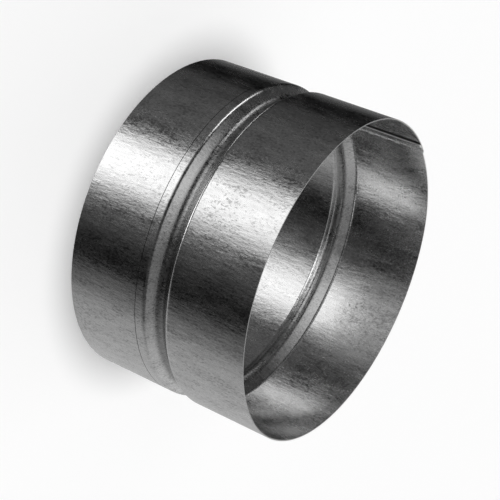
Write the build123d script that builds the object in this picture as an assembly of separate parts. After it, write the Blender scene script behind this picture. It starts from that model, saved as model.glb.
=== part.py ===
from build123d import *
import math
import os

# Straight female coupling for round ventilation duct, rolled from one strip of galvanised sheet.
# The strip's two ends overlap and are spot welded. An inward bead at mid-length stops the duct
# fittings that push in from both ends.
# Sizes are in millimetres and degrees. Z is the duct's axis, and the sleeve stands on its lower
# rim at Z = 0.

# The rolled sheet
bore_diameter = 160.3
sheet = 0.6
sleeve_length = 98.0

# The stop bead, pressed inward. Its bend radii are those of the sheet's middle surface.
bead_depth = 4.8
bead_floor_width = 3.6
bead_flank_angle = 45.0
shoulder_bend_radius = 1.9
floor_bend_radius = 2.1

# The lap seam. The inner layer ends at seam_direction, and widths run along the circumference.
seam_direction = 163.0
lap_width = 7.4
joggle_width = 52.0
weld_squeeze = 0.05
inner_corner_radius = 1.3
outer_corner_radius = 0.8

# The shallow round dents of the spot welds, in a row along the lap on the bore side
spot_diameter = 3.2
spot_depth = 0.12
spot_pitch = 7.4
spot_rim_distance = 6.5
spot_bead_clearance = 1.0

# The line that the beading roller's edge leaves on the outside, below the bead alone
mark_bead_distance = 3.8
mark_width = 0.6
mark_depth = 0.1

# The wall
bore_radius = bore_diameter / 2
middle_radius = bore_radius + sheet / 2
outer_radius = bore_radius + sheet

# The bead, from its floor up to where the straight sockets begin
flank_width = bead_depth / math.tan(math.radians(bead_flank_angle))
floor_low = (sleeve_length - bead_floor_width) / 2
floor_high = (sleeve_length + bead_floor_width) / 2
bead_low = floor_low - flank_width
bead_high = floor_high + flank_width
socket_length = bead_low - shoulder_bend_radius * math.tan(math.radians(bead_flank_angle / 2))

# The lap, where the outer layer lies on the inner one and the welds squeeze them together
lap_rise = sheet - weld_squeeze
lap_angle = math.degrees(lap_width / bore_radius)
joggle_angle = math.degrees(joggle_width / bore_radius)


def direction(angle):
    """Unit vector square to the axis, at an angle from +X."""
    return Vector(math.cos(math.radians(angle)), math.sin(math.radians(angle)), 0)


def sheet_section(rise):
    """Section of the beaded sheet along the axis, with its wall raised by rise."""
    wall = middle_radius + rise
    floor = wall - bead_depth
    bends = [shoulder_bend_radius, floor_bend_radius, floor_bend_radius, shoulder_bend_radius]
    middle_line = FilletPolyline(
        (wall, -sheet),
        (wall, bead_low),
        (floor, floor_low),
        (floor, floor_high),
        (wall, bead_high),
        (wall, sleeve_length + sheet),
        radius=bends,
    )
    ribbon = make_face(offset(middle_line, sheet / 2, side=Side.BOTH))
    between_rims = Pos(wall, sleeve_length / 2) * Rectangle(4 * (bead_depth + sheet), sleeve_length)
    return ribbon & between_rims


def mark_section(rise):
    """Section of the roller's line, a shallow V open to the outside."""
    surface = outer_radius + rise
    middle = socket_length - mark_bead_distance
    return make_face(
        Polyline(
            (surface - mark_depth, middle),
            (surface + mark_depth, middle - mark_width),
            (surface + mark_depth, middle + mark_width),
            close=True,
        )
    )


def roll(section, start):
    """Rolls a section into the strip's shape, from a start angle round to the outer layer's tip.

    The strip runs round the axis, climbs one sheet in a joggle of two tangent arcs, each about
    an axis of its own, and ends in the lap."""
    foot = seam_direction + joggle_angle
    half = joggle_angle / 2
    shift = lap_rise / (2 * (1 - math.cos(math.radians(half))))
    opening_axis = Axis(-shift * direction(foot), (0, 0, 1))
    closing_axis = Axis(shift * direction(seam_direction), (0, 0, 1))
    ground = Plane.XZ * section(0)
    raised = Plane.XZ * section(lap_rise)
    round_wall = revolve(Rot(0, 0, foot) * ground, Axis.Z, start + 360 - foot)
    opening = revolve(Rot(0, 0, foot) * ground, opening_axis, -half)
    closing = revolve(Rot(0, 0, seam_direction) * raised, closing_axis, half)
    lap = revolve(Rot(0, 0, seam_direction) * raised, Axis.Z, -lap_angle)
    return round_wall, opening, closing, lap


def round_corners(layer, angle, rise, radius):
    """Rounds the two rim corners of a layer's cut end, at its angle and its rise."""
    wall_middle = (middle_radius + rise) * direction(angle)
    rim_points = [wall_middle, wall_middle + Vector(0, 0, sleeve_length)]
    corners = [layer.edges().sort_by_distance(point)[0] for point in rim_points]
    return fillet(corners, radius)


def spot_dents():
    """Balls whose caps are the dents of the spot welds in the bore, from each rim to the bead."""
    ball_radius = ((spot_diameter / 2) ** 2 + spot_depth**2) / (2 * spot_depth)
    last = socket_length - spot_bead_clearance - spot_diameter / 2
    count = 1 + int((last - spot_rim_distance) // spot_pitch)
    below = [spot_rim_distance + spot_pitch * i for i in range(count)]
    above = [sleeve_length - height for height in below]
    lap_middle = direction(seam_direction - lap_angle / 2)
    ball_middle = (bore_radius + spot_depth - ball_radius) * lap_middle
    ball = Plane(ball_middle, x_dir=-lap_middle, z_dir=(0, 0, 1)) * Sphere(ball_radius)
    return [Pos(0, 0, height) * ball for height in below + above]


def coupling_sleeve():
    """The whole sleeve: the rolled and beaded strip, with the marks that making it leaves."""
    round_wall, opening, closing, lap = roll(sheet_section, seam_direction)
    inner_layer = round_corners(round_wall, seam_direction, 0, inner_corner_radius)
    outer_layer = round_corners(lap, seam_direction - lap_angle, lap_rise, outer_corner_radius)
    strip = inner_layer + [opening, closing, outer_layer]
    roller_mark = roll(mark_section, seam_direction - lap_angle)
    return strip - [*roller_mark, *spot_dents()]


os.makedirs("parts", exist_ok=True)
export_step(coupling_sleeve(), "parts/coupling_sleeve.step")
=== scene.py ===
# A straight duct connector of galvanised sheet, dressed for the photograph's view.
from math import atan2, cos, exp, hypot, pi, radians, sin, tan

import bpy
from mathutils import Matrix, Vector


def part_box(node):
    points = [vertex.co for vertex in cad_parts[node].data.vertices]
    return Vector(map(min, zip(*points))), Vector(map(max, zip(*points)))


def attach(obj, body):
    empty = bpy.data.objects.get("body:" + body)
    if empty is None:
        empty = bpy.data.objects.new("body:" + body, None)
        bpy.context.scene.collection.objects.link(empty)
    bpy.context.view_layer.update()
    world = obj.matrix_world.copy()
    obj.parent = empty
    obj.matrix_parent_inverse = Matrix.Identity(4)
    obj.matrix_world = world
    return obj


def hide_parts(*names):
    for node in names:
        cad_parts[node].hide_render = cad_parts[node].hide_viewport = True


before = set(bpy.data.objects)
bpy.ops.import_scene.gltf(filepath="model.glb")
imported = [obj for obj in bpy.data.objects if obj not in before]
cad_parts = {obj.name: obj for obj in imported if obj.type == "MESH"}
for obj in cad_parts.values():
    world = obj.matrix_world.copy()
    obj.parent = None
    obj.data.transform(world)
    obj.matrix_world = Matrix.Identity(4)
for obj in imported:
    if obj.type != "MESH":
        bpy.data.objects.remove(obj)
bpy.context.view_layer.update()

MM = 0.001
SLEEVE_NODE = "coupling_sleeve"
SLEEVE_LOW, SLEEVE_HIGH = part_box(SLEEVE_NODE)

# The rolled sheet, in millimetres, with its radius and length from the frame
SHEET = 0.6
BORE_RADIUS = min(SLEEVE_HIGH[0], SLEEVE_HIGH[1], -SLEEVE_LOW[1]) / MM - SHEET
LENGTH = (SLEEVE_HIGH[2] - SLEEVE_LOW[2]) / MM
EDGE_BREAK = 0.06

# The stop bead. Its bend radii are those of the sheet's middle surface. The rollers press the zinc on the
# bead's floor, and less and less beside it up to the pressed width. Over the same width the zinc's colour
# is darkened towards the floor as painted shade in the groove.
BEAD_DEPTH = 4.8
BEAD_FLOOR_WIDTH = 3.6
BEAD_FLANK_ANGLE = radians(45)
SHOULDER_BEND_RADIUS = 2.6
FLOOR_BEND_RADIUS = 4.0
PRESSED_AND_SHADE_WIDTH = 7.0
BEAD_LOW = (LENGTH - BEAD_FLOOR_WIDTH) / 2 - BEAD_DEPTH / tan(BEAD_FLANK_ANGLE)
SOCKET_LENGTH = BEAD_LOW - SHOULDER_BEND_RADIUS * tan(BEAD_FLANK_ANGLE / 2)

# The lap seam, with angles about the axis and widths along the circumference. The strip runs from the outer
# layer's end once round the axis to the inner layer's end.
SEAM_ANGLE = radians(163)
LAP_WIDTH = 7.4
LAP_SPAN = LAP_WIDTH / BORE_RADIUS
STRIP_START = SEAM_ANGLE - LAP_SPAN
STRIP_END = SEAM_ANGLE + 2 * pi
WELD_SQUEEZE = 0.05
INNER_CORNER_RADIUS = 1.3
OUTER_CORNER_RADIUS = 0.8
CORNER_ZONE = 2 * INNER_CORNER_RADIUS / BORE_RADIUS
CUT_SLANT = 0.25
# The width of the near-black strip painted beside the inner layer's cut end, a painted shadow of the seam's
# step
CREVICE_SHADOW_WIDTH = 1.8

# The sheet's ends stay flatter than the rest when it is rolled, so the wall dips beside the seam. Within
# the lap, the inner layer climbs to the outer one in a narrow step.
OUTER_DIP = 0.45
OUTER_DIP_START = radians(198)
OUTER_DIP_END = radians(176)
INNER_DIP = 1.4
INNER_DIP_START = radians(118)
INNER_DIP_END = radians(157)
LAP_DIP = OUTER_DIP + SHEET - WELD_SQUEEZE
CLIMB_ANGLE = radians(160.2)
CLIMB_WIDTH = 0.45

# The spot welds, which leave a round dent on the outside of the lap and a narrow one on the inside, painted
# bright as a highlight.
# A dent's depth falls off with the square of the distance in its radii, and its reach is so many of them.
SPOT_PITCH = 7.4
SPOT_RIM_DISTANCE = 6.5
SPOTS_PER_SIDE = 5
SPOT_RADIUS = 1.6
SPOT_DEPTH = 0.12
DASH_LENGTH = 2.9
DASH_WIDTH = 0.9
DENT_REACH = 2
DENT_FALL = 1.6

# The roller's mark, below the bead alone. Its faces are painted near-black as shade in its groove.
MARK_BEAD_DISTANCE = 3.5
MARK_WIDTH = 0.3
MARK_DEPTH = 0.03

# Mesh steps: the angle between columns, and the rows in each part of the section
COARSE_COLUMN = radians(0.9)
FINE_COLUMN = radians(0.16)
LAP_MARGIN = radians(1.0)
BEND_ROWS = 7
FLANK_ROWS = 2
WALL_ROWS = 8
FINE_ROW = 0.45
CRISP_ROW = 0.15
CRISP_SHARE = 0.25
CORNER_ROWS = (EDGE_BREAK, 0.2, 0.45, 0.8, INNER_CORNER_RADIUS)
SHARP_ANGLE = radians(24)

# The sleeve's materials, in the order of its slots. The third is a near-black painted shadow in the seam's
# crevice and the roller's mark. The fourth is a pale grey painted highlight on the weld dashes and the cut
# ends, on the cut ends over the bare steel's lighter grey.
ZINC, CUT_EDGE, CREVICE_SHADOW, CUT_END_AND_HIGHLIGHT = range(4)

# The zinc's relief, in millimetres
PATCH_RELIEF = 0.13
STREAK_RELIEF = 0.06
SPECKLE_RELIEF = 0.022
DIMPLE_RELIEF = 0.13

# Ranges that the zinc's values are taken from: most of a noise, the top of the flecks' noise, and the
# distance from the bead's middle over which the pressed zinc and its painted groove shade end
NOISE_RANGE = (0.3, 0.7)
FLECK_RANGE = (0.79, 0.89)
PRESSED_AND_SHADE_RANGE = (BEAD_FLOOR_WIDTH / 2 * MM, PRESSED_AND_SHADE_WIDTH / 2 * MM)

# How far the flecks gather in the zinc's patches, and the roughness of the dull materials beside it
FLECK_GATHERING = 0.5
DULL_ROUGHNESS = 0.6

# The floor and the lamp over it
FLOOR_REACH = 12.0
FLOOR_SHADE = 0.98
FLOOR_ROUGHNESS = 0.9
LAMP_HEIGHT = 2.5
LAMP_SPREAD = radians(25)
LAMP_ENERGY = 2.2

# The camera, from the photograph. It looks along +Y and down by the tilt, and is rolled about its own axis.
CAMERA_PLACE = (0.002544, -0.620297, 0.377434)
CAMERA_TILT = radians(28.147)
CAMERA_ROLL = radians(112.492)
CAMERA_NEAR = 0.01
FOCAL_PIXELS = 1440.28
PHOTO_PIXELS = 500
SENSOR_MM = 36.0


def spot_heights():
    """Heights of the spot welds' middles."""
    low = [SPOT_RIM_DISTANCE + SPOT_PITCH * spot for spot in range(SPOTS_PER_SIDE)]
    return low + [LENGTH - height for height in low]


SPOTS = spot_heights()


def outside(run):
    """The unit normal of a middle-line direction, pointing away from the axis."""
    return (run[1], -run[0])


def bend(corner, before, after, radius):
    """The rows of one bend of the middle line, as (radius, height, direction)."""
    turn = before[0] * after[1] - before[1] * after[0]
    side = 1 if turn > 0 else -1
    angle = side * BEAD_FLANK_ANGLE
    reach = radius * tan(BEAD_FLANK_ANGLE / 2)
    centre = (
        corner[0] - reach * before[0] - side * radius * before[1],
        corner[1] - reach * before[1] + side * radius * before[0],
    )
    rows = []
    for row in range(BEND_ROWS + 1):
        turned = angle * row / BEND_ROWS
        run = (
            before[0] * cos(turned) - before[1] * sin(turned),
            before[0] * sin(turned) + before[1] * cos(turned),
        )
        rows.append((centre[0] + side * radius * run[1], centre[1] - side * radius * run[0], run))
    return rows


def along(start, end, share):
    """The row at a share of the way from one to another."""
    return (start[0] + share * (end[0] - start[0]), start[1] + share * (end[1] - start[1]), start[2])


def straight(start, end, count):
    """The rows between two others, ends left out."""
    return [along(start, end, row / count) for row in range(1, count)]


def crisp(start, end, count):
    """The same, with a row close to each end, so that the flat run shades as flat right up to its bends."""
    length = hypot(end[0] - start[0], end[1] - start[1])
    margin = min(CRISP_SHARE, CRISP_ROW / length)
    first = along(start, end, margin)
    last = along(start, end, 1 - margin)
    return [first] + straight(first, last, count) + [last]


def middle_line():
    """The sheet's middle line from the lower rim to the upper, each row as (radius, height, direction)."""
    wall = BORE_RADIUS + SHEET / 2
    floor = wall - BEAD_DEPTH
    floor_low = (LENGTH - BEAD_FLOOR_WIDTH) / 2
    floor_high = (LENGTH + BEAD_FLOOR_WIDTH) / 2
    up = (0.0, 1.0)
    inward = (-sin(BEAD_FLANK_ANGLE), cos(BEAD_FLANK_ANGLE))
    outward = (sin(BEAD_FLANK_ANGLE), cos(BEAD_FLANK_ANGLE))
    bends = [
        bend((wall, BEAD_LOW), up, inward, SHOULDER_BEND_RADIUS),
        bend((floor, floor_low), inward, up, FLOOR_BEND_RADIUS),
        bend((floor, floor_high), up, outward, FLOOR_BEND_RADIUS),
        bend((wall, LENGTH - BEAD_LOW), outward, up, SHOULDER_BEND_RADIUS),
    ]
    mark = SOCKET_LENGTH - MARK_BEAD_DISTANCE
    mark_rows = [(wall, mark + share * MARK_WIDTH / 2, up) for share in (-1, 0, 1)]
    line = [(wall, height, up) for height in CORNER_ROWS]
    line += crisp(line[-1], mark_rows[0], WALL_ROWS) + mark_rows
    line += crisp(line[-1], bends[0][0], 1)
    for first, second in zip(bends, bends[1:]):
        line += first
        line += crisp(first[-1], second[0], FLANK_ROWS)
    line += bends[-1]
    line += crisp(line[-1], (wall, LENGTH - CORNER_ROWS[-1], up), WALL_ROWS)
    line += [(wall, LENGTH - height, up) for height in reversed(CORNER_ROWS)]
    return line


def finer(line):
    """The same rows with others between them, for the lap, and where in it each of the first rows is."""
    rows = []
    places = []
    for first, second in zip(line, line[1:]):
        places.append(len(rows))
        rows.append(first)
        gap = hypot(second[0] - first[0], second[1] - first[1])
        rows += straight(first, second, max(1, round(gap / FINE_ROW)))
    places.append(len(rows))
    return rows + [line[-1]], places


def columns():
    """Angles along the strip, and whether each column is a fine one, as both ends of a fine stretch are."""
    fine_end = SEAM_ANGLE + LAP_MARGIN
    fine_start = STRIP_END - LAP_SPAN - LAP_MARGIN
    stretches = (
        (STRIP_START, fine_end, FINE_COLUMN),
        (fine_end, fine_start, COARSE_COLUMN),
        (fine_start, STRIP_END, FINE_COLUMN),
    )
    found = []
    for low, high, step in stretches:
        count = round((high - low) / step)
        for index in range(count):
            found.append((low + (high - low) * index / count, step == FINE_COLUMN or index == 0))
    return found + [(STRIP_END, True)]


def eased(value, start, end):
    """0 before start and 1 after end, with a smooth rise between them."""
    share = min(1.0, max(0.0, (value - start) / (end - start)))
    return share * share * (3 - 2 * share)


def rise(angle):
    """How far the strip stands outside its true circle, in millimetres."""
    turned = angle - 2 * pi
    if turned < INNER_DIP_START:
        return -OUTER_DIP * (1 - eased(angle, OUTER_DIP_END, OUTER_DIP_START))
    half = CLIMB_WIDTH / 2 / BORE_RADIUS
    dip = INNER_DIP * eased(turned, INNER_DIP_START, INNER_DIP_END)
    climb = eased(turned, CLIMB_ANGLE - half, CLIMB_ANGLE + half)
    return -dip * (1 - climb) - LAP_DIP * climb


def place(angle, radius, height):
    """A point of the strip, in metres."""
    out = radius + rise(angle)
    return Vector((out * cos(angle), out * sin(angle), height)) * MM


def end_pull(height, radius):
    """How far a strip's end is drawn back by its rounded corner at this height, in millimetres."""
    reach = min(height, LENGTH - height)
    if reach >= radius:
        return 0.0
    return radius - (radius ** 2 - (radius - reach) ** 2) ** 0.5


def rounded(angle, height, on_outer_face):
    """The column's angle once the strip's ends have their rounded corners and slanted cuts."""
    if angle < STRIP_START + CORNER_ZONE:
        slant = CUT_SLANT if on_outer_face else 0.0
        pull = (end_pull(height, OUTER_CORNER_RADIUS) + slant) / BORE_RADIUS
        inside = STRIP_START + CORNER_ZONE
        return inside - (inside - angle) * (CORNER_ZONE - pull) / CORNER_ZONE
    if angle > STRIP_END - CORNER_ZONE:
        slant = 0.0 if on_outer_face else CUT_SLANT
        pull = (end_pull(height, INNER_CORNER_RADIUS) + slant) / BORE_RADIUS
        inside = STRIP_END - CORNER_ZONE
        return inside + (angle - inside) * (CORNER_ZONE - pull) / CORNER_ZONE
    return angle


def spot_dent(angle, height, half_width, half_length):
    """The depth of the spot welds' dents at a point of the lap, in millimetres."""
    across = (angle - (SEAM_ANGLE - LAP_SPAN / 2)) * BORE_RADIUS
    depth = 0.0
    for spot in SPOTS:
        away = (across / half_width) ** 2 + ((height - spot) / half_length) ** 2
        if away < DENT_REACH ** 2:
            depth += SPOT_DEPTH * exp(-DENT_FALL * away)
    return depth


def roller_mark(height):
    """The depth of the roller's line on the outer face, in millimetres."""
    away = abs(height - (SOCKET_LENGTH - MARK_BEAD_DISTANCE)) / (MARK_WIDTH / 2)
    return MARK_DEPTH * max(0.0, 1 - away)


def column_points(angle, rows):
    """One column's points on its outer face and on its inner face, from the lower rim to the upper."""
    half = SHEET / 2

    def rim(height, side):
        """Where a rim's broken edge starts, with side 1 on the outer face and -1 on the inner one."""
        turned = rounded(angle, height, side > 0)
        return place(turned, BORE_RADIUS + half + side * (half - EDGE_BREAK), height)

    outer = []
    inner = []
    for radius, height, run in rows:
        normal = outside(run)
        dent = roller_mark(height) + spot_dent(angle, height, SPOT_RADIUS, SPOT_RADIUS)
        turned = rounded(angle, height, True)
        outer.append(place(turned, radius + normal[0] * (half - dent), height + normal[1] * half))
        dent = spot_dent(angle - 2 * pi, height, DASH_WIDTH / 2, DASH_LENGTH / 2)
        turned = rounded(angle, height, False)
        inner.append(place(turned, radius - normal[0] * (half - dent), height - normal[1] * half))
    return [rim(0.0, 1)] + outer + [rim(LENGTH, 1)], [rim(0.0, -1)] + inner + [rim(LENGTH, -1)]


def bridge(left, right, places):
    """Faces between two columns. Between a fine one and a coarse one, a face is as high as a coarse row."""
    def spans(column, other):
        """The column's points in each row, of which a fine column has several beside a coarse one."""
        if len(column) > len(other):
            return [column[low:high + 1] for low, high in zip(places, places[1:])]
        return [column[row:row + 2] for row in range(len(column) - 1)]

    faces = [(left[0], right[0], right[1], left[1])]
    inner_left = left[1:-1]
    inner_right = right[1:-1]
    for side_a, side_b in zip(spans(inner_left, inner_right), spans(inner_right, inner_left)):
        faces.append(tuple([side_a[0]] + side_b + side_a[:0:-1]))
    faces.append((left[-2], right[-2], right[-1], left[-1]))
    return faces


def strip_grid():
    """The strip's points, and each column's angle with the numbers of its outer and its inner points. The
    last result is where the coarse rows are among the fine ones."""
    coarse = middle_line()
    fine, places = finer(coarse)
    points = []
    grid = []
    for angle, is_fine in columns():
        numbers = []
        for side in column_points(angle, fine if is_fine else coarse):
            numbers.append(list(range(len(points), len(points) + len(side))))
            points += side
        grid.append((angle, *numbers))
    return points, grid, places


def in_highlight_dash(polygon):
    """Whether a face is in one of the dashes that the welds leave on the inside, which are painted bright as
    a highlight.
    """
    x, y, height = polygon.center / MM
    if polygon.normal.x * x + polygon.normal.y * y > 0:
        return False
    across = (atan2(y, x) - CLIMB_ANGLE) * BORE_RADIUS + CLIMB_WIDTH / 2
    up = min(abs(height - spot) for spot in SPOTS)
    return (2 * across / DASH_WIDTH) ** 2 + (2 * up / DASH_LENGTH) ** 2 < 1


def face_material(polygon, material):
    """A face's material: its own, or the near-black painted shadow of the roller's mark, or the pale painted
    highlight of a weld dash where it lies in one.
    """
    on_outer_face = polygon.center.xy.length / MM > BORE_RADIUS + (SHEET - OUTER_DIP) / 2
    if on_outer_face and roller_mark(polygon.center.z / MM) > 0:
        return CREVICE_SHADOW
    if in_highlight_dash(polygon):
        return CUT_END_AND_HIGHLIGHT
    return material


def sleeve_mesh():
    """The rolled strip as one closed mesh: outer face, inner face, rims and the two cut ends."""
    points, grid, places = strip_grid()
    faces = {ZINC: [], CUT_EDGE: [], CREVICE_SHADOW: [], CUT_END_AND_HIGHLIGHT: []}
    for (angle, outer_a, inner_a), (_, outer_b, inner_b) in zip(grid, grid[1:]):
        faces[ZINC] += bridge(outer_a, outer_b, places)
        # The inner faces just beside the inner layer's cut end take the near-black painted shadow
        in_crevice_shadow = 0 <= (angle - SEAM_ANGLE) * BORE_RADIUS < CREVICE_SHADOW_WIDTH
        inner_faces = bridge(inner_a, inner_b, places)
        faces[CREVICE_SHADOW if in_crevice_shadow else ZINC] += [tuple(reversed(face)) for face in inner_faces]
        faces[CUT_EDGE].append((outer_a[0], inner_a[0], inner_b[0], outer_b[0]))
        faces[CUT_EDGE].append((outer_a[-1], outer_b[-1], inner_b[-1], inner_a[-1]))
    # The cut ends take the pale grey: the bare steel's lighter grey with a painted highlight
    for (_, outer, inner), flip in ((grid[0], False), (grid[-1], True)):
        for row in range(len(outer) - 1):
            face = (outer[row], outer[row + 1], inner[row + 1], inner[row])
            faces[CUT_END_AND_HIGHLIGHT].append(tuple(reversed(face)) if flip else face)
    mesh = bpy.data.meshes.new("galvanised_sleeve")
    mesh.from_pydata([tuple(point) for point in points], [], sum(faces.values(), []))
    materials = [material for material, group in faces.items() for _ in group]
    for polygon, material in zip(mesh.polygons, materials):
        polygon.material_index = face_material(polygon, material)
    mesh.shade_smooth()
    mesh.set_sharp_from_angle(angle=SHARP_ANGLE)
    mesh.validate()
    return mesh


def combine(tree, operation, first, second):
    """One step of arithmetic on two values, each a number or another node's output."""
    node = tree.nodes.new("ShaderNodeMath")
    node.operation = operation
    for value, socket in ((first, node.inputs[0]), (second, node.inputs[1])):
        if isinstance(value, (int, float)):
            socket.default_value = value
        else:
            tree.links.new(value, socket)
    return node.outputs[0]


def product(tree, *values):
    """Several values multiplied."""
    result = values[0]
    for value in values[1:]:
        result = combine(tree, "MULTIPLY", result, value)
    return result


def ranged(tree, value, source, result=(0.0, 1.0), kind="LINEAR"):
    """Takes a value from the source range to the result range, and holds it at their ends."""
    node = tree.nodes.new("ShaderNodeMapRange")
    node.interpolation_type = kind
    node.inputs["From Min"].default_value, node.inputs["From Max"].default_value = source
    node.inputs["To Min"].default_value, node.inputs["To Max"].default_value = result
    tree.links.new(value, node.inputs["Value"])
    return node.outputs["Result"]


def mottle(tree, size, detail, stretch=1.0, roughness=0.6):
    """Noise whose patches are size across and stretch times as long, in millimetres along the axis."""
    coordinates = tree.nodes.new("ShaderNodeTexCoord")
    mapping = tree.nodes.new("ShaderNodeMapping")
    across = 1 / (size * MM)
    mapping.inputs["Scale"].default_value = (across, across, across / stretch)
    noise = tree.nodes.new("ShaderNodeTexNoise")
    noise.inputs["Scale"].default_value = 1.0
    noise.inputs["Detail"].default_value = detail
    noise.inputs["Roughness"].default_value = roughness
    tree.links.new(coordinates.outputs["Object"], mapping.inputs["Vector"])
    tree.links.new(mapping.outputs["Vector"], noise.inputs["Vector"])
    return noise.outputs["Fac"]


def bead_distance(tree):
    """The distance along the axis from the bead's middle, in metres."""
    coordinates = tree.nodes.new("ShaderNodeTexCoord")
    parts = tree.nodes.new("ShaderNodeSeparateXYZ")
    tree.links.new(coordinates.outputs["Object"], parts.inputs["Vector"])
    return combine(tree, "ABSOLUTE", combine(tree, "SUBTRACT", parts.outputs["Z"], LENGTH / 2 * MM), 0)


def relief(tree, layers):
    """The normal over several bumps, each a value with its height in millimetres."""
    normal = None
    for value, height in layers:
        bump = tree.nodes.new("ShaderNodeBump")
        bump.inputs["Strength"].default_value = 1.0
        bump.inputs["Distance"].default_value = height * MM
        tree.links.new(value, bump.inputs["Height"])
        if normal is not None:
            tree.links.new(normal, bump.inputs["Normal"])
        normal = bump.outputs["Normal"]
    return normal


def new_material(name, metallic):
    """A material, its node tree and the sockets of its shader."""
    material = bpy.data.materials.new(name)
    material.use_nodes = True
    sockets = material.node_tree.nodes["Principled BSDF"].inputs
    sockets["Metallic"].default_value = metallic
    return material, material.node_tree, sockets


def zinc_material():
    """Galvanised sheet: a grey metal with a fine mottle, streaks along the axis and dark, glossy flecks. It
    is duller and dimpled where the rollers pressed it, at the bottom of the bead, and darker there as
    painted shade in the groove."""
    material, tree, sockets = new_material("zinc_sheet", metallic=1.0)
    speckle = mottle(tree, size=0.8, detail=2, stretch=1.6)
    streaks = mottle(tree, size=1.3, detail=3, stretch=5)
    patches = mottle(tree, size=6, detail=4, stretch=2.5)
    dimples = mottle(tree, size=1.1, detail=2)
    scatter = mottle(tree, size=0.8, detail=3, stretch=2)
    flecks = combine(tree, "ADD", scatter, product(tree, patches, FLECK_GATHERING))
    away = bead_distance(tree)
    shade = product(
        tree,
        ranged(tree, speckle, NOISE_RANGE, (0.88, 1.10)),
        ranged(tree, streaks, NOISE_RANGE, (0.90, 1.08)),
        ranged(tree, patches, NOISE_RANGE, (0.90, 0.80)),
        ranged(tree, flecks, FLECK_RANGE, (1.0, 0.67)),
        # painted shade: the base colour darkens towards the bead's floor, where shade falls in the groove
        ranged(tree, away, PRESSED_AND_SHADE_RANGE, (0.6, 1.0)),
    )
    roughness = product(
        tree,
        ranged(tree, speckle, NOISE_RANGE, (0.85, 1.25)),
        ranged(tree, patches, NOISE_RANGE, (0.27, 0.17)),
        ranged(tree, flecks, FLECK_RANGE, (1.0, 0.35)),
        ranged(tree, away, PRESSED_AND_SHADE_RANGE, (1.5, 1.0)),
    )
    pressed = product(tree, dimples, ranged(tree, away, PRESSED_AND_SHADE_RANGE, (1.0, 0.0)))
    layers = (
        (patches, PATCH_RELIEF),
        (streaks, STREAK_RELIEF),
        (speckle, SPECKLE_RELIEF),
        (pressed, DIMPLE_RELIEF),
    )
    tree.links.new(shade, sockets["Base Color"])
    tree.links.new(roughness, sockets["Roughness"])
    tree.links.new(relief(tree, layers), sockets["Normal"])
    return material


def grained_material(name, metallic, size, detail, shades):
    """A dull surface of one roughness, whose grey wanders between two shades in grains of that size."""
    material, tree, sockets = new_material(name, metallic)
    sockets["Roughness"].default_value = DULL_ROUGHNESS
    grain = mottle(tree, size, detail, roughness=0.5)
    tree.links.new(ranged(tree, grain, (0.0, 1.0), shades), sockets["Base Color"])
    return material


def add_sleeve():
    """The sleeve. Its rims are bare sheared metal. The crevice beside the cut end and the roller's mark are
    painted near-black as shadow. The weld dashes and the cut ends are painted pale grey as a highlight, on
    the cut ends over the bare steel's own lighter grey."""
    mesh = sleeve_mesh()
    for material in (
        zinc_material(),
        grained_material("cut_edge", metallic=1.0, size=0.5, detail=2, shades=(0.5, 0.7)),
        # near-black: painted shadow in the seam's crevice and the roller's mark
        grained_material("crevice_painted_shadow", metallic=1.0, size=1.5, detail=3, shades=(0.01, 0.10)),
        # pale grey: painted highlight on the weld dashes, and on the cut ends over the bare steel's lighter
        # grey
        grained_material("cut_end_and_painted_highlight", metallic=0.0, size=0.5, detail=2, shades=(0.8, 0.95)),
    ):
        mesh.materials.append(material)
    sleeve = bpy.data.objects.new("galvanised_sleeve", mesh)
    bpy.context.scene.collection.objects.link(sleeve)
    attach(sleeve, "root")
    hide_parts(SLEEVE_NODE)


def add_floor():
    """A plain pale floor, which the metal doesn't mirror: it shows the studio's panels instead."""
    mesh = bpy.data.meshes.new("floor")
    corners = [(x * FLOOR_REACH, y * FLOOR_REACH, 0) for x, y in ((-1, -1), (1, -1), (1, 1), (-1, 1))]
    mesh.from_pydata(corners, [], [(0, 1, 2, 3)])
    material, _, sockets = new_material("pale_floor", metallic=0.0)
    sockets["Base Color"].default_value = (FLOOR_SHADE, FLOOR_SHADE, FLOOR_SHADE, 1)
    sockets["Roughness"].default_value = FLOOR_ROUGHNESS
    sockets["Specular IOR Level"].default_value = 0.0
    mesh.materials.append(material)
    floor = bpy.data.objects.new("floor", mesh)
    floor.location.z = SLEEVE_LOW[2]
    bpy.context.scene.collection.objects.link(floor)
    floor.visible_glossy = False


# The studio round the object, as (degrees about the axis, brightness) at each turn of a gradient. UNDER is
# straight below, LOW_PANELS lie between it and the horizon, BELT lies above the horizon, DOME is overhead,
# and TOP, one brightness, is straight above. KEY_PANEL adds its light to LOW_PANELS, and SIDE_PANEL to BELT.
# Their rises are (sine of the elevation, brightness).
UNDER = (
    (-180, 0.1), (-150, 0.3), (-135, 1.9), (-78, 2.2), (-52, 0.3), (8, 0.25), (22, 0.8), (50, 0.8),
    (72, 0.3), (110, 0.2), (160, 0.1),
)
LOW_PANELS = (
    (-180, 0.08), (-162, 0.085), (-149, 0.09), (-135, 0.07), (-86, 0.09), (-76, 0.09), (-64, 0.055),
    (-50, 0.012), (-36, 0.012), (-27, 0.09), (-8, 0.21), (-2, 0.34), (70, 0.48), (96, 0.37), (108, 0.20),
    (120, 0.10), (131, 0.007), (151, 0.006), (160, 0.05),
)
KEY_PANEL = ((-180, 0.0), (-139, 0.0), (-118, 1.0), (-105, 1.0), (-77, 0.0), (180, 0.0))
KEY_RISE = (
    (-0.8, 0.0), (-0.68, 0.4), (-0.60, 2.0), (-0.545, 1.35), (-0.485, 0.74), (-0.454, 1.2), (-0.39, 1.35),
    (-0.2, 0.5), (0.1, 0.3),
)
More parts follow.
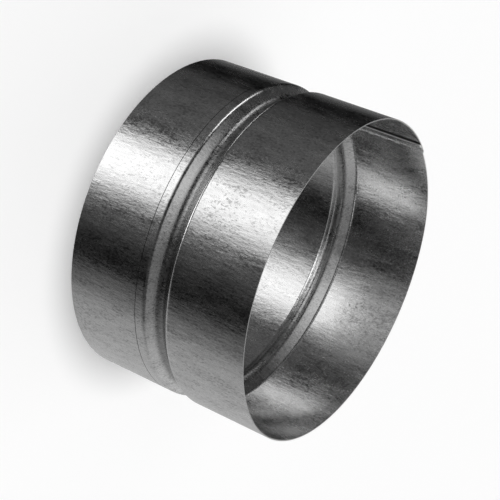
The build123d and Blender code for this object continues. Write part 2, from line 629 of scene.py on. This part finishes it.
BELT = (
    (-180, 0.05), (-160, 0.04), (-35, 0.04), (-18, 0.07), (2, 0.28), (22, 0.42), (50, 0.5), (64, 0.8),
    (116, 0.8), (128, 0.06), (160, 0.04),
)
SIDE_PANEL = ((-180, 1.0), (-156, 1.0), (-140, 0.0), (158, 0.0), (180, 1.0))
SIDE_RISE = ((-0.04, 0.0), (0.06, 1.9), (0.18, 1.9), (0.28, 0.0))
DOME = (
    (-180, 0.12), (-163, 0.22), (-140, 0.52), (-118, 0.68), (-90, 0.42), (-66, 0.15), (-40, 0.13),
    (-17, 0.2), (22, 0.36), (90, 0.4), (120, 0.2), (145, 0.06), (168, 0.09),
)
TOP = 0.4

# The sines of the elevations between which each of them takes over from the one below it
LOW_START = (-0.95, -0.9)
BELT_START = (-0.08, 0.08)
DOME_START = (0.6, 0.72)
TOP_START = (0.92, 0.98)


def gradient(tree, share, stops, low, high):
    """Brightness along a ramp of stops, where the share is 0 at low and 1 at high. The ramp itself holds
    shares of the brightest stop."""
    brightest = max(shade for _, shade in stops)
    ramp = tree.nodes.new("ShaderNodeValToRGB")
    ramp.color_ramp.interpolation = "EASE"
    elements = ramp.color_ramp.elements
    for index, (spot, shade) in enumerate(stops):
        position = (spot - low) / (high - low)
        element = elements[index] if index < 2 else elements.new(position)
        element.position = position
        element.color = (shade / brightest,) * 3 + (1,)
    tree.links.new(share, ramp.inputs["Fac"])
    return product(tree, ramp.outputs["Color"], brightest)


def add_world():
    """A studio of panels: their brightness depends on the direction alone."""
    world = bpy.data.worlds.new("studio")
    bpy.context.scene.world = world
    world.use_nodes = True
    tree = world.node_tree
    coordinates = tree.nodes.new("ShaderNodeTexCoord")
    around = tree.nodes.new("ShaderNodeTexGradient")
    around.gradient_type = "RADIAL"
    tree.links.new(coordinates.outputs["Generated"], around.inputs["Vector"])
    parts = tree.nodes.new("ShaderNodeSeparateXYZ")
    tree.links.new(coordinates.outputs["Generated"], parts.inputs["Vector"])
    height = parts.outputs["Z"]

    def turn(stops):
        """Brightness by the direction about the axis."""
        return gradient(tree, around.outputs["Fac"], stops, -180, 180)

    def climb(stops):
        """Brightness by the sine of the elevation."""
        return gradient(tree, ranged(tree, height, (-1, 1)), stops, -1, 1)

    def lit(panels, panel, panel_rise):
        """Panels with another panel's light added."""
        return combine(tree, "ADD", turn(panels), product(tree, turn(panel), climb(panel_rise)))

    layers = (
        (lit(LOW_PANELS, KEY_PANEL, KEY_RISE), LOW_START),
        (lit(BELT, SIDE_PANEL, SIDE_RISE), BELT_START),
        (turn(DOME), DOME_START),
        (TOP, TOP_START),
    )
    light = turn(UNDER)
    for layer, start in layers:
        share = ranged(tree, height, start, kind="SMOOTHSTEP")
        change = combine(tree, "SUBTRACT", layer, light)
        light = combine(tree, "ADD", light, product(tree, share, change))
    background = tree.nodes["Background"]
    background.inputs["Strength"].default_value = 1.0
    tree.links.new(light, background.inputs["Color"])


def add_lamp():
    """A wide soft lamp overhead, for the floor."""
    light = bpy.data.lights.new("overhead", "SUN")
    light.angle = LAMP_SPREAD
    light.energy = LAMP_ENERGY
    lamp = bpy.data.objects.new("overhead", light)
    lamp.location.z = LAMP_HEIGHT
    lamp.visible_glossy = False
    bpy.context.scene.collection.objects.link(lamp)


def add_camera():
    """The photograph's camera."""
    data = bpy.data.cameras.new("photo_camera")
    data.sensor_width = SENSOR_MM
    data.lens = FOCAL_PIXELS / PHOTO_PIXELS * SENSOR_MM
    data.clip_start = CAMERA_NEAR
    camera = bpy.data.objects.new("photo_camera", data)
    turned = Matrix.Rotation(pi / 2 - CAMERA_TILT, 4, "X") @ Matrix.Rotation(CAMERA_ROLL, 4, "Z")
    camera.matrix_world = Matrix.Translation(CAMERA_PLACE) @ turned
    bpy.context.scene.collection.objects.link(camera)
    bpy.context.scene.camera = camera


bpy.context.scene.view_settings.view_transform = "Standard"
add_sleeve()
add_floor()
add_world()
add_lamp()
add_camera()
